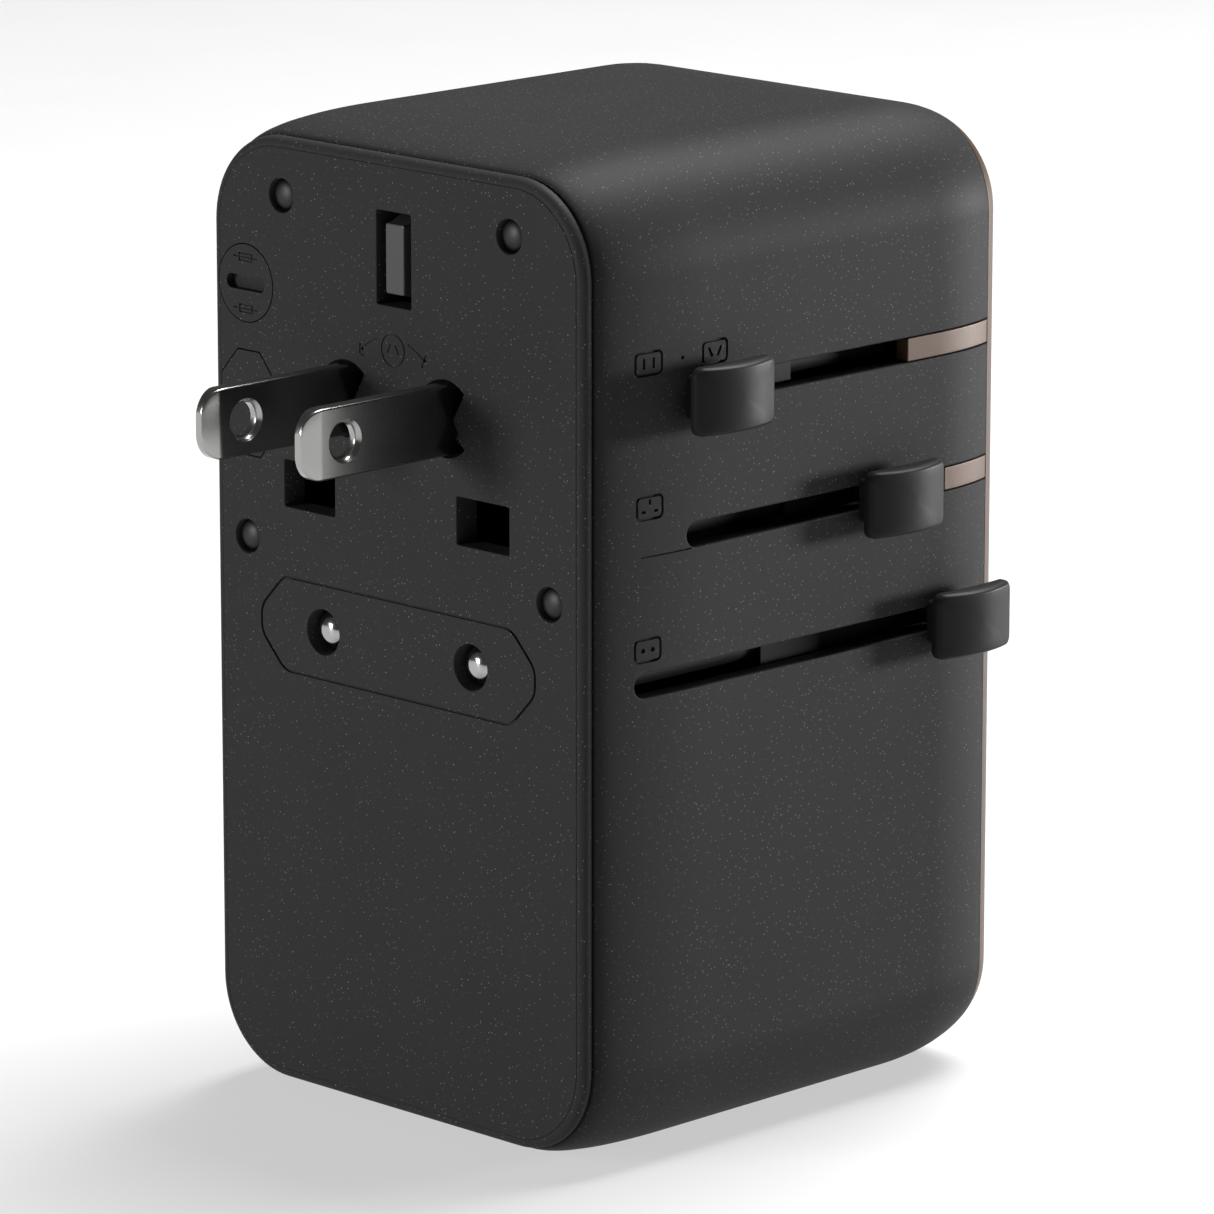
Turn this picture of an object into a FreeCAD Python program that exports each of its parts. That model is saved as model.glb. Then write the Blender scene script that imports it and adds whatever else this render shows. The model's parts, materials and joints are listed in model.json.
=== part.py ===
# Universal travel adapter. Millimetres, Z up, plug face towards -Y, slider knobs on +X.
# Worked out in plug coordinates: y = 0 on the plug face and running into the body, z = 0 on the
# two-pin line. put() then moves every piece so that the origin is the centre of the resting base.
import math
import os
import FreeCAD
import Part

V = FreeCAD.Vector
os.makedirs("parts", exist_ok=True)

# ---- outer shape
HW, TOP, BASE, RAD, DEPTH = 25.1, 45.9, -44.4, 10.0, 54.0
FRONT_IN, FRONT_LEN = 1.52, 12.4       # the long soft curve behind the plug face
BACK_IN, BACK_LEN = 3.55, 10.4         # the tighter curve round to the back
LIP, SEAM, WALL = 1.3, 51.5, 1.7       # sleeve front edge, sleeve to rear cover seam, wall
CAP_RIM, CAP_T = 1.0, 2.5              # visible rim and full thickness of the plug face cap
# ---- pins, blades and their places
US_X, US_Z, US_OUT, US_W, US_T = 6.35, 21.9, 17.5, 6.35, 1.5
UK_X, UK_Z, UK_EZ = 11.115, 13.01, 35.24
EU_X = 9.5
US_TRAVEL, UK_TRAVEL, EU_TRAVEL = 18.5, 23.3, 20.4
# ---- sliders: slot bottom and top, knob centre at rest
SLOT_US, SLOT_UK, SLOT_EU = (23.95, 26.25), (11.38, 13.66), (-1.27, 1.01)
SLOT_Y, UK_SLOT_Y, US_SLOT_Y = 5.2, 11.3, 11.5
KNOB_US, KNOB_UK, KNOB_EU = 14.55, 36.7, 45.85
KNOB_L, KNOB_H = 9.8, 6.1
KNOB_DOWN = 0.15                       # how far the head's middle lies under its slot's
KNOB_IN, KNOB_END, KNOB_MID = 26.8, 27.9, 29.1
ARM = (19.2, 22.5)                     # x range of the three slider arms
ROD_X, ROD_R = 20.95, 1.0
# ---- small things on the plug face
SCREWS = ((14.5, 39.15), (-14.5, 39.15), (19.4, 7.3), (-19.4, 7.3))
COIN = (-19.3, 30.6, 3.52)
COIN_STEP, COIN_NECK = 1.05, 2.45      # the cap's seat depth, and the round neck behind it
CARRIER = ((-20.4, 24.4), (-17.6, 24.4), (-15.6, 22.0), (-15.6, 17.3),
           (-17.6, 14.9), (-20.4, 14.9), (-22.6, 17.3), (-22.6, 22.0))
FUSE = (-19.1, 19.65)
PORT_X, PORT_Y = 12.5, (16.5, 38.0)    # USB panel set in the base


def put(node, shape):
    shape = shape.removeSplitter() if shape.ShapeType == "Solid" else shape
    shape.translate(V(0, -DEPTH / 2, -BASE))
    shape.exportStep("parts/%s.step" % node)


def box(x0, x1, y0, y1, z0, z1):
    return Part.makeBox(x1 - x0, y1 - y0, z1 - z0, V(x0, y0, z0))


def rod(x, z, r, y0, y1):
    return Part.makeCylinder(r, y1 - y0, V(x, y0, z), V(0, 1, 0))


def inset(y):
    if y < LIP + FRONT_LEN:
        u = min(1.0, (LIP + FRONT_LEN - y) / FRONT_LEN)
        return FRONT_IN * (1 - math.sqrt(max(0.0, 1 - u * u)))
    if y > DEPTH - BACK_LEN:
        u = min(1.0, (y - DEPTH + BACK_LEN) / BACK_LEN)
        return BACK_IN * (1 - math.sqrt(max(0.0, 1 - u * u)))
    return 0.0


def outline(y, x0, x1, z0, z1, r):
    """Closed rounded rectangle in the plane at depth y."""
    q = r * (1 - math.sqrt(0.5))
    pts = [((x1 - r, z1), (x1 - q, z1 - q), (x1, z1 - r)), ((x1, z0 + r), (x1 - q, z0 + q), (x1 - r, z0)),
           ((x0 + r, z0), (x0 + q, z0 + q), (x0, z0 + r)), ((x0, z1 - r), (x0 + q, z1 - q), (x0 + r, z1))]
    edges = []
    for k in range(4):
        a, b, c = [V(p[0], y, p[1]) for p in pts[k]]
        d = V(pts[(k + 1) % 4][0][0], y, pts[(k + 1) % 4][0][1])
        edges += [Part.Arc(a, b, c).toShape(), Part.makeLine(c, d)]
    return Part.Wire(edges)


def ring(y, t):
    t += inset(y)
    return outline(y, -HW + t, HW - t, BASE + t, TOP - t, RAD - t)


def slab(y0, y1, x0, x1, z0, z1, r):
    return Part.Face(outline(y0, x0, x1, z0, z1, r)).extrude(V(0, y1 - y0, 0))


def skin(t, y0, y1):
    """Solid of the body's outer form, offset inwards by t, between two depths."""
    stops = [LIP + FRONT_LEN * (1 - math.cos(math.radians(a))) for a in range(0, 91, 15)]
    stops += [DEPTH - BACK_LEN * (1 - math.sin(math.radians(a))) for a in range(0, 91, 10)]
    stops = [y0] + [s for s in stops if y0 + 0.05 < s < y1 - 0.05] + [y1]
    out = None
    front = [s for s in stops if s <= LIP + FRONT_LEN + 1e-6]
    back = [s for s in stops if s >= DEPTH - BACK_LEN - 1e-6]
    for part in (front, back):
        if len(part) > 1:
            s = Part.makeLoft([ring(y, t) for y in part], True, False)
            out = s if out is None else out.fuse(s)
    a, b = max(y0, LIP + FRONT_LEN), min(y1, DEPTH - BACK_LEN)
    if b > a:
        s = Part.Face(ring(a, t)).extrude(V(0, b - a, 0))
        out = s if out is None else out.fuse(s)
    return out


def poly(points, y0, y1):
    w = Part.makePolygon([V(x, y0, z) for x, z in points] + [V(points[0][0], y0, points[0][1])])
    return Part.Face(w).extrude(V(0, y1 - y0, 0))


def grown(points, d):
    """Polygon outline offset by d (convex, any winding)."""
    w = Part.makePolygon([V(x, 0, z) for x, z in points] + [V(points[0][0], 0, points[0][1])])
    return w.makeOffset2D(d, 2) if d else w


def line_groove(points, width, depth):
    """Thin engraved closed line on the plug face."""
    outer = Part.Face(grown(points, width / 2)).extrude(V(0, depth, 0))
    return outer.cut(Part.Face(grown(points, -width / 2)).extrude(V(0, depth, 0)))


def hourglass(cx, cz, r, neck, half, y0, y1):
    """Slot swept by a flat blade turning 30 degrees each way."""
    a = math.radians(half)
    lobes = []
    for s in (1, -1):
        p = V(cx - neck, y0, cz), V(cx - r * math.sin(a), y0, cz + s * r * math.cos(a))
        q = V(cx + r * math.sin(a), y0, cz + s * r * math.cos(a)), V(cx + neck, y0, cz)
        w = Part.Wire([Part.makeLine(p[0], p[1]), Part.Arc(p[1], V(cx, y0, cz + s * r), q[0]).toShape(),
                       Part.makeLine(q[0], q[1]), Part.makeLine(q[1], p[0])])
        lobes.append(Part.Face(w).extrude(V(0, y1 - y0, 0)))
    return lobes[0].fuse(lobes[1])


def group(shapes):
    return Part.makeCompound(shapes)


# ================= outer shell =================
BOSS_R, BOSS_Y, TAP_R = 2.3, (4.4, 16.0), 1.15
sleeve = skin(0, LIP, SEAM).cut(skin(WALL, LIP - 0.01, SEAM + 0.01))
for x, z in SCREWS:                                    # screw bosses tied to the nearest wall
    boss = rod(x, z, BOSS_R, *BOSS_Y)
    if z > 30:
        boss = boss.fuse(box(x - BOSS_R, x + BOSS_R, *BOSS_Y, z, TOP - 1.1))
    else:
        far = math.copysign(HW - 1.2, x)
        boss = boss.fuse(box(min(x, far), max(x, far), *BOSS_Y, z - BOSS_R, z + BOSS_R))
    sleeve = sleeve.fuse(boss.cut(rod(x, z, TAP_R, BOSS_Y[0] - 0.4, BOSS_Y[1] + 1)))
for (z0, z1), y0 in ((SLOT_US, US_SLOT_Y), (SLOT_UK, SLOT_Y), (SLOT_EU, SLOT_Y)):
    r = (z1 - z0) / 2
    cut = box(22, 26, y0 + r, SEAM + 1, z0, z1)
    cut = cut.fuse(Part.makeCylinder(r, 4, V(22, y0 + r, z0 + r), V(1, 0, 0)))
    sleeve = sleeve.cut(cut)
sleeve = sleeve.cut(box(-PORT_X, PORT_X, *PORT_Y, BASE - 1, BASE + 3))             # port opening
put("housing_sleeve", sleeve)

filler = box(23.0, 26, SLOT_Y + 1.14, UK_SLOT_Y, SLOT_UK[0], SLOT_UK[1])
filler = filler.common(skin(0.04, LIP, 20)).cut(skin(WALL, LIP - 0.01, 20.1))
put("uk_slot_filler", filler)

c_in = FRONT_IN
cap = slab(0, CAP_RIM, -HW + c_in, HW - c_in, BASE + c_in, TOP - c_in, RAD - c_in)
cap = cap.makeFillet(0.75, [e for e in cap.Edges if e.BoundBox.YMax < 1e-6])
s_in = c_in + WALL + 0.12
cap = cap.fuse(slab(CAP_RIM, CAP_T, -HW + s_in, HW - s_in, BASE + s_in, TOP - s_in, RAD - s_in))
for x, z in SCREWS:
    cap = cap.cut(rod(x, z, 1.8, -1, 1.5)).cut(rod(x, z, 1.2, 0, 4))
cap = cap.cut(box(-2.195, 2.195, -1, 4, UK_EZ - 4.235, UK_EZ + 4.235))
for s in (-1, 1):
    cap = cap.cut(box(s * UK_X - 3.305, s * UK_X + 3.305, -1, 4, UK_Z - 2.175, UK_Z + 2.175))
    cap = cap.cut(rod(s * EU_X, 0, 2.1, -1, 4))
    cap = cap.cut(hourglass(s * US_X, US_Z, 3.5, 1.09, 44.5, -1, 4))
cap = cap.cut(rod(COIN[0], COIN[1], COIN[2] + 0.1, -1, COIN_STEP)).cut(rod(COIN[0], COIN[1], 2.6, 0, 4))
cap = cap.cut(box(COIN[0] - 0.8, COIN[0] + 0.8, COIN_STEP, 4, COIN[1] - 3.05, COIN[1] + 3.05))
cap = cap.cut(Part.Face(grown(CARRIER, 0.12)).extrude(V(0, 8, 0)).translated(V(0, -1, 0)))
EURO = ((-17.6, 1.2), (-14.6, 4.35), (14.6, 4.35), (17.6, 1.2), (17.6, -1.2), (14.6, -4.35),
        (-14.6, -4.35), (-17.6, -1.2))
cap = cap.cut(line_groove(EURO, 0.28, 0.25))
icon = rod(-0.14, 27.15, 1.55, 0, 0.2).cut(rod(-0.14, 27.15, 1.35, -1, 1))
for s in (-1, 1):
    bar = box(-0.14 + s * 0.55 - 0.1, -0.14 + s * 0.55 + 0.1, 0, 0.2, 26.7, 27.75)
    bar.rotate(V(-0.14 + s * 0.55, 0, 27.2), V(0, 1, 0), s * 25)
    arc = rod(-0.14, 22.6, 5.35, 0, 0.2).cut(rod(-0.14, 22.6, 5.15, -1, 1))
    arc = arc.common(box(*(sorted((s * 2.0, s * 4.2)) + [0, 0.2, 23, 28])))
    icon = icon.fuse([bar, arc])
cap = cap.cut(icon)
put("plug_face_cap", cap)

screws = []
for x, z in SCREWS:
    dome = Part.makeSphere(1.75, V(x, 1.85, z)).common(rod(x, z, 1.5, 0.15, 1.5))
    screws.append(dome.fuse(rod(x, z, 1.1, 1.4, 13)))
put("case_screws", group(screws))

cover = skin(0, SEAM, DEPTH).cut(skin(WALL, SEAM - 0.01, DEPTH - 1.9))
lip = skin(WALL + 0.08, 48.9, SEAM + 0.3).cut(skin(WALL + 1.4, 48, SEAM + 1))
lip = lip.cut(box(15, 26, 40, 60, -12, 33))            # room for the slider arms
cover = cover.fuse(lip)
for (z0, z1), y0 in ((SLOT_US, 39.6), (SLOT_UK, 44.7)):
    tongue = box(22, 26, y0, SEAM + 0.4, z0 + 0.06, z1 - 0.06)
    cover = cover.fuse(tongue.common(skin(0, 30, 52.5).cut(skin(1.5, 29, 53))))
cover = cover.cut(slab(50, 56, -18.5, 18.5, 3.5, 41.0, 6)).cut(rod(0, -18, 1.6, 48, 56))
put("rear_cover", cover)
put("status_lens", rod(0, -18, 1.55, 51.2, 53.8).fuse(rod(0, -18, 2.4, 50.4, 51.6)))

# ================= universal socket in the rear cover =================
insert = slab(50.0, 53.7, -18.44, 18.44, 3.56, 40.94, 5.94)
insert = insert.makeFillet(0.5, [e for e in insert.Edges if e.BoundBox.YMin > 53.6])
holes = [box(-2.35, 2.35, 49, 55, UK_EZ - 4.4, UK_EZ + 4.4), rod(0, 24.9, 2.6, 49, 55)]
for s in (-1, 1):
    holes += [box(s * UK_X - 3.45, s * UK_X + 3.45, 49, 55, UK_Z - 2.3, UK_Z + 2.3),
              rod(s * EU_X, UK_Z, 2.45, 49, 55),
              box(s * US_X - 1.0, s * US_X + 1.0, 49, 55, UK_Z - 3.7, UK_Z + 3.7)]
    slant = box(s * 6.9 - 1.0, s * 6.9 + 1.0, 49, 55, UK_Z - 3.4, UK_Z + 3.6)
    slant.rotate(V(s * 6.9, 0, UK_Z), V(0, 1, 0), -s * 30)
    holes.append(slant)
for h in holes:
    insert = insert.cut(h)
put("socket_insert", insert)

chassis = box(-17.8, 17.8, 33.6, 49.9, -0.6, 41.0).cut(box(-16.6, 16.6, 34.8, 51, 0.6, 39.8))
for s in (-1, 1):
    chassis = chassis.cut(box(s * 13.9 - 0.6, s * 13.9 + 0.6, 35.0, 38.5, -2, 2))
    chassis = chassis.fuse(box(s * 16.1 - 0.55, s * 16.1 + 0.55, 34.7, 47.4, 8.6, 17.6))
chassis = chassis.fuse(box(-3.2, 3.2, 34.5, 36.0, 0.4, 39.9)).cut(box(-1, 1, 30, 36.5, 26, 34))
put("socket_chassis", chassis)

shutter = box(-15.9, 15.9, 48.0, 49.5, 10.2, 16.4)
shutter = shutter.fuse(box(-5.0, 5.0, 46.6, 48.1, 10.2, 14.4)).cut(rod(0, 12.6, 1.2, 40, 48.0))
put("safety_shutter", shutter)

SPRING_LOW, SPRING_HIGH = 0.7, 10.1
SPRING_R, SPRING_W = 1.7, 0.25         # coil radius, half the side of the square wire
helix = Part.makeHelix(2.0, SPRING_HIGH - SPRING_LOW - 2 * SPRING_W - 0.1, SPRING_R)
helix.translate(V(0, 48.0, SPRING_LOW + SPRING_W + 0.05))
corners = [V(SPRING_R + a * SPRING_W, 48.0, SPRING_LOW + (1 + b) * SPRING_W + 0.05)
           for a, b in ((-1, -1), (1, -1), (1, 1), (-1, 1), (-1, -1))]
wire = Part.makePolygon(corners)
put("shutter_spring", Part.Wire(helix).makePipeShell([wire], True, True))

for name, s in (("contact_live", 1), ("contact_neutral", -1)):
    leaves = []
    for z in (9.95, 15.55):
        leaves.append(box(s * 10.6 - 4.3, s * 10.6 + 4.3, 36.2, 47.2, z, z + 0.5))
    back = box(s * 10.6 - 4.3, s * 10.6 + 4.3, 36.1, 36.6, 9.95, 16.05)
    put(name, back.fuse(leaves))
earth = box(-2.3, 2.3, 36.1, 36.6, 20.5, 39.5)
for x in (-3.0, 2.5):
    earth = earth.fuse(box(x, x + 0.5, 36.1, 47.0, 31.0, 39.5))
    earth = earth.fuse(box(x, x + 0.5, 36.1, 47.0, 22.6, 27.2))
earth = earth.fuse(box(-3.0, 3.0, 36.1, 36.6, 22.6, 39.5))
put("contact_earth", earth)
put("supply_straps", group([box(s * 13.9 - 0.3, s * 13.9 + 0.3, 35.3, 38.2, -22.0, 9.9) for s in (-1, 1)]))

# ================= guides =================
WALL_Y = (49.2, 50.4)                  # the guide frame's upright that holds the rods' far ends
RODS_Z = (-0.13, 12.52, 25.1)
frame = box(-22.8, 22.8, 6.0, 48.0, -9.2, -7.6).fuse(box(18.7, 22.4, 47.9, WALL_Y[1], -9.2, -7.6))
frame = frame.fuse(box(18.7, 22.4, *WALL_Y, -9.2, 31.0))
for z in RODS_Z:
    frame = frame.cut(rod(ROD_X, z, ROD_R + 0.05, 49, 52))
for s in (-1, 1):
    frame = frame.cut(box(s * 13.9 - 0.6, s * 13.9 + 0.6, 35.0, 38.5, -10, -7))
put("guide_frame", frame)
put("guide_rods", group([rod(ROD_X, z, ROD_R, CAP_T + 0.02, WALL_Y[1]) for z in RODS_Z]))
springs = []
for z in (-4.0, 8.7, 21.2):
    leaf = box(19.8, 22.2, 30.0, WALL_Y[0], z, z + 0.4)
    springs.append(leaf.fuse(Part.makeCylinder(0.9, 2.4, V(19.8, 34.0, z - 0.35), V(1, 0, 0)).common(
        box(19, 23, 30, 40, z, z + 2))))
put("detent_springs", group(springs))

# ================= spare fuse and main fuse =================
tube = rod(COIN[0], COIN[1], 3.4, 4.3, 26.5).cut(rod(COIN[0], COIN[1], 2.75, 4, 25.3))
put("spare_fuse_tube", tube)
cx, cz = COIN[0], COIN[1]
coin = rod(cx, cz, COIN[2], 0, COIN_STEP - 0.05).fuse(rod(cx, cz, COIN_NECK, 0.9, 5.0))
slot = box(cx - 1.85, cx + 1.85, -1, 0.8, cz - 0.68, cz + 0.68)
for s in (-1, 1):
    slot = slot.fuse(rod(cx + s * 1.85, cz, 0.68, -1, 0.8))
coin = coin.cut(slot)
for z in (cz - 2.35, cz + 2.35):                       # small fuse sign: a box with a line through
    sign = box(cx - 0.9, cx + 0.9, -1, 0.18, z - 0.4, z + 0.4)
    sign = sign.cut(box(cx - 0.75, cx + 0.75, -1, 1, z - 0.25, z + 0.25))
    coin = coin.cut(sign.fuse(box(cx - 1.6, cx + 1.6, -1, 0.18, z - 0.07, z + 0.07)))
coin = coin.fuse(box(cx - 2.95, cx + 2.95, CAP_T + 0.15, 3.4, cz - 0.7, cz + 0.7))   # bayonet ears
put("spare_fuse_cap", coin)


def fuse(tag, cx, cz, y0):
    put(tag, rod(cx, cz, 2.3, y0 + 1.0, y0 + 19.0))
    ends = []
    for a, b in ((y0, y0 + 5.0), (y0 + 15.0, y0 + 20.0)):
        e = rod(cx, cz, 2.6, a, b)
        e = e.cut(rod(cx, cz, 2.32, a + (1.0 if a == y0 else -0.1), b - (0 if a == y0 else 1.0)))
        ends.append(e)
    put(tag + "_ends", group(ends))


fuse("spare_fuse", COIN[0], COIN[1], 5.2)
fuse("main_fuse", FUSE[0], FUSE[1], 5.1)
octagon = Part.Face(grown(CARRIER, 0))
carrier = octagon.extrude(V(0, 5.0, 0)).fuse(rod(FUSE[0], FUSE[1], 3.4, 4.9, 9.0))
carrier = carrier.cut(rod(FUSE[0], FUSE[1], 2.62, 4.95, 10))
LIP_CLEAR = -21.74                     # nothing behind the rim may be wider, or it meets the sleeve's lip
carrier = carrier.cut(box(-24, LIP_CLEAR, CAP_RIM, 12, 10, 30))
carrier = carrier.cut(box(FUSE[0] - 1.6, FUSE[0] + 1.6, -1, 0.8, 15.6, 16.5))
put("fuse_carrier", carrier)
clips = []
for y0 in (20.4, 10.4):
    c = rod(FUSE[0], FUSE[1], 3.2, y0, y0 + 3.6).cut(rod(FUSE[0], FUSE[1], 2.68, y0 - 1, y0 + 5))
    c = c.cut(box(FUSE[0] - 1.2, FUSE[0] + 1.2, y0 - 1, y0 + 5, FUSE[1], FUSE[1] + 5))
    clips.append(c.fuse(box(-22.9, FUSE[0] - 2.9, y0, y0 + 3.6, FUSE[1] - 0.3, FUSE[1] + 0.3)))
put("fuse_clips", group(clips))


# ================= knobs =================
def knob(node, yc, z0, z1, tail=0.0):
    """Crowned pad, its foot and the neck through the slot; tail is a strip behind the neck."""
    zc = (z0 + z1) / 2 - KNOB_DOWN
    pts = []
    n = 12
    for k in range(n + 1):
        s = -1 + 2.0 * k / n
        pts.append(V(KNOB_END + (KNOB_MID - KNOB_END) * (1 - s * s), yc + s * KNOB_L / 2, zc - KNOB_H / 2))
    crv = Part.BSplineCurve()
    crv.interpolate(pts)
    a, b = V(KNOB_IN, pts[-1].y, pts[0].z), V(KNOB_IN, pts[0].y, pts[0].z)
    w = Part.Wire([crv.toShape(), Part.makeLine(pts[-1], a), Part.makeLine(a, b), Part.makeLine(b, pts[0])])
    head = Part.Face(w).extrude(V(0, 0, KNOB_H))
    ends = [e for e in head.Edges
            if abs(e.BoundBox.ZLength - KNOB_H) < 0.01 and e.BoundBox.XMin > KNOB_IN + 0.5]
    head = head.makeFillet(0.45, ends)
    rims = [e for e in head.Edges if e.BoundBox.XMin > KNOB_IN + 0.1 and e.BoundBox.ZLength < 0.01]
    try:
        head = head.makeFillet(0.4, rims)
    except Exception:
        head = head.makeChamfer(0.3, rims)
    foot = box(25.4, KNOB_IN + 0.1, yc - 3.7, yc + 3.7, zc - 2.0, zc + 2.0)
    neck = box(ARM[1] + 0.01, 25.5, yc - 1.7, yc + 1.7, z0 + 0.12, z1 - 0.12)
    if tail:
        neck = neck.fuse(box(ARM[1] + 0.01, UNDER_TONGUE, yc, tail, z0 + 0.12, z1 - 0.12))
    put(node, head.fuse([foot, neck]))


UNDER_TONGUE = 23.45                   # the strip's outer face, just inside the copper tongue
US_TAIL_END = 26.2
knob("us_knob", KNOB_US, *SLOT_US, tail=US_TAIL_END)
knob("uk_knob", KNOB_UK, *SLOT_UK)
knob("eu_knob", KNOB_EU, *SLOT_EU)


def arm(y0, y1, z):
    """Slider arm beside the wall, bored to run on its guide rod."""
    return box(ARM[0], ARM[1], y0, y1, z - 2.3, z + 2.3), rod(ROD_X, z, ROD_R + 0.06, y0 - 1, y1 + 1)


# ================= US and AU set (rest: pushed out) =================
U0, U1 = 5.0, 9.2
body, bore = arm(U0, 26.2, RODS_Z[2])
us = box(-10.6, 10.6, U0, U1, 17.9, 25.9).fuse(box(10.0, ARM[0] + 0.5, U0, U1, 22.8, 27.4))
us = us.fuse(body).cut(bore)
for s in (-1, 1):
    us = us.fuse(rod(s * US_X, US_Z, 4.1, U0, U1))
    us = us.cut(rod(s * US_X, US_Z, 1.65, U0 - 1, U1 + 1))
put("us_carriage", us)
for side, s in (("left", -1), ("right", 1)):
    x0, x1 = s * US_X - US_T / 2, s * US_X + US_T / 2
    n, r = 8, 2.3
    prof = [V(x0, 3.5, US_Z - US_W / 2)]
    for zc, sg in ((US_Z - US_W / 2 + r, -1), (US_Z + US_W / 2 - r, 1)):
        rng = range(n + 1)
        for k in rng:
            a = math.radians(90.0 * (k if sg < 0 else n - k) / n)
            prof.append(V(x0, -US_OUT + r - r * math.sin(a), zc + sg * r * math.cos(a)))
    prof.append(V(x0, 3.5, US_Z + US_W / 2))
    blade = Part.Face(Part.makePolygon(prof + [prof[0]])).extrude(V(US_T, 0, 0))
    for sx in (-1, 1):                                 # bevel both cheeks of the tip
        xb = x1 if sx > 0 else x0
        wedge = Part.makePolygon([V(xb, -US_OUT + 1.6, 0), V(xb - sx * 0.5, -US_OUT - 0.2, 0),
                                  V(xb + sx * 0.5, -US_OUT - 0.2, 0), V(xb + sx * 0.5, -US_OUT + 1.6, 0),
                                  V(xb, -US_OUT + 1.6, 0)])
        wedge = Part.Face(wedge).extrude(V(0, 0, 20))
        wedge.translate(V(0, 0, US_Z - 10))
        blade = blade.cut(wedge)
    hole = V(x0 - 1, -12.6, US_Z)
    blade = blade.cut(Part.makeCylinder(1.55, 4, hole, V(1, 0, 0)))
    blade = blade.cut(Part.makeCone(1.55, 1.95, 0.4, V(x1 - 0.4, -12.6, US_Z), V(1, 0, 0)))
    blade = blade.cut(Part.makeCone(1.95, 1.55, 0.4, V(x0, -12.6, US_Z), V(1, 0, 0)))
    blade = blade.fuse(rod(s * US_X, US_Z, 3.6, 3.4, 4.85)).fuse(rod(s * US_X, US_Z, 1.6, 4.8, 10.6))
    put("us_blade_" + side, blade)
    clip = rod(s * US_X, US_Z, 2.7, 9.35, 10.0).cut(rod(s * US_X, US_Z, 1.6, 9, 11))
    put("us_clip_" + side, clip.cut(box(s * US_X - 0.7, s * US_X + 0.7, 9, 11, US_Z, US_Z + 4)))

# ================= UK set (rest: drawn in) =================
K0, K1 = 26.4, 31.4
body, bore = arm(K0, 41.0, RODS_Z[1])
uk = box(-14.9, ARM[0] + 0.5, K0, K1, 10.4, 16.6)
uk = uk.fuse([box(-14.9, -11.8, K0, K1, 10.4, 35.9), box(-14.9, 4.4, K0, K1, 30.9, 35.9),
              box(-4.4, 4.4, K0, K1, 30.9, 39.8), body]).cut(bore)
EARTH_TIP, LINE_TIP = 0.15, 0.15 + 22.73 - 17.7
for s in (-1, 1):
    uk = uk.cut(box(s * UK_X - 2.7, s * UK_X + 2.7, K0 - 1, K1 + 1, UK_Z - 1.5, UK_Z + 1.5))
uk = uk.cut(box(-1.98, 1.98, K0 - 1, K1 + 1, UK_EZ - 3.96, UK_EZ + 3.96))
put("uk_carriage", uk)


def flat_pin(cx, cz, w, h, y0, y1, ch):
    pin = box(cx - w / 2, cx + w / 2, y0, y1, cz - h / 2, cz + h / 2)
    return pin.makeChamfer(ch, [e for e in pin.Edges if e.BoundBox.YMax < y0 + 1e-6])


sleeves = []
for name, s in (("uk_pin_live", 1), ("uk_pin_neutral", -1)):
    pin = flat_pin(s * UK_X, UK_Z, 6.35, 3.97, LINE_TIP, LINE_TIP + 8.2, 0.9)
    put(name, pin.fuse(box(s * UK_X - 2.7, s * UK_X + 2.7, LINE_TIP + 8, K1 + 1.0, UK_Z - 1.5, UK_Z + 1.5)))
    sl = box(s * UK_X - 3.175, s * UK_X + 3.175, LINE_TIP + 8.2, K0, UK_Z - 1.985, UK_Z + 1.985)
    sleeves.append(sl.cut(box(s * UK_X - 2.7, s * UK_X + 2.7, 0, 60, UK_Z - 1.5, UK_Z + 1.5)))
put("uk_pin_sleeves", group(sleeves))
put("uk_pin_earth", flat_pin(0, UK_EZ, 3.96, 7.92, EARTH_TIP, K1 + 1.0, 1.0))

# ================= EU set (rest: drawn in) =================
E0, E1 = 23.4, 29.4
body, bore = arm(E0, 49.0, RODS_Z[0])
eu = box(-13.2, ARM[0] + 0.5, E0, E1, -3.6, 3.6).fuse(body).cut(bore)
for s in (-1, 1):
    eu = eu.cut(rod(s * EU_X, 0, 1.5, E0 - 1, E1 + 1))
put("eu_carriage", eu)
EU_TIP, sleeves = 0.4, []
for name, s in (("eu_pin_left", -1), ("eu_pin_right", 1)):
    pin = rod(s * EU_X, 0, 2.0, EU_TIP, EU_TIP + 9.0)
    pin = pin.makeFillet(1.6, [e for e in pin.Edges if e.BoundBox.YMax < EU_TIP + 1e-6])
    put(name, pin.fuse(rod(s * EU_X, 0, 1.5, EU_TIP + 8.9, E1 + 1.0)))
    sleeves.append(rod(s * EU_X, 0, 1.9, EU_TIP + 9.0, E0).cut(rod(s * EU_X, 0, 1.5, 0, 60)))
put("eu_pin_sleeves", group(sleeves))

# ================= charger in the lower half =================
ports = box(-PORT_X, PORT_X, *PORT_Y, BASE, BASE + 1.8)
ports = ports.fuse(Part.makeBox(27.4, 23.9, 1.2, V(-13.7, 15.3, BASE + WALL + 0.02)))
ports = ports.cut(Part.makeBox(13.2, 5.8, 6, V(-6.6, 29.6, BASE - 1)))
for s in (-1, 1):
    ports = ports.cut(Part.makeBox(9.0, 3.3, 6, V(s * 6.2 - 4.5, 20.35, BASE - 1)))
put("port_frame", ports)
a_shell = Part.makeBox(13.1, 5.7, 13.8, V(-6.55, 29.65, BASE + 0.2))
put("usb_a_socket", a_shell.cut(Part.makeBox(12.5, 5.12, 13.5, V(-6.25, 29.94, BASE))))
put("usb_a_tongue", Part.makeBox(11.1, 1.9, 10.75, V(-5.55, 30.5, BASE + 2.7)))
shells, tongues = [], []
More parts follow.
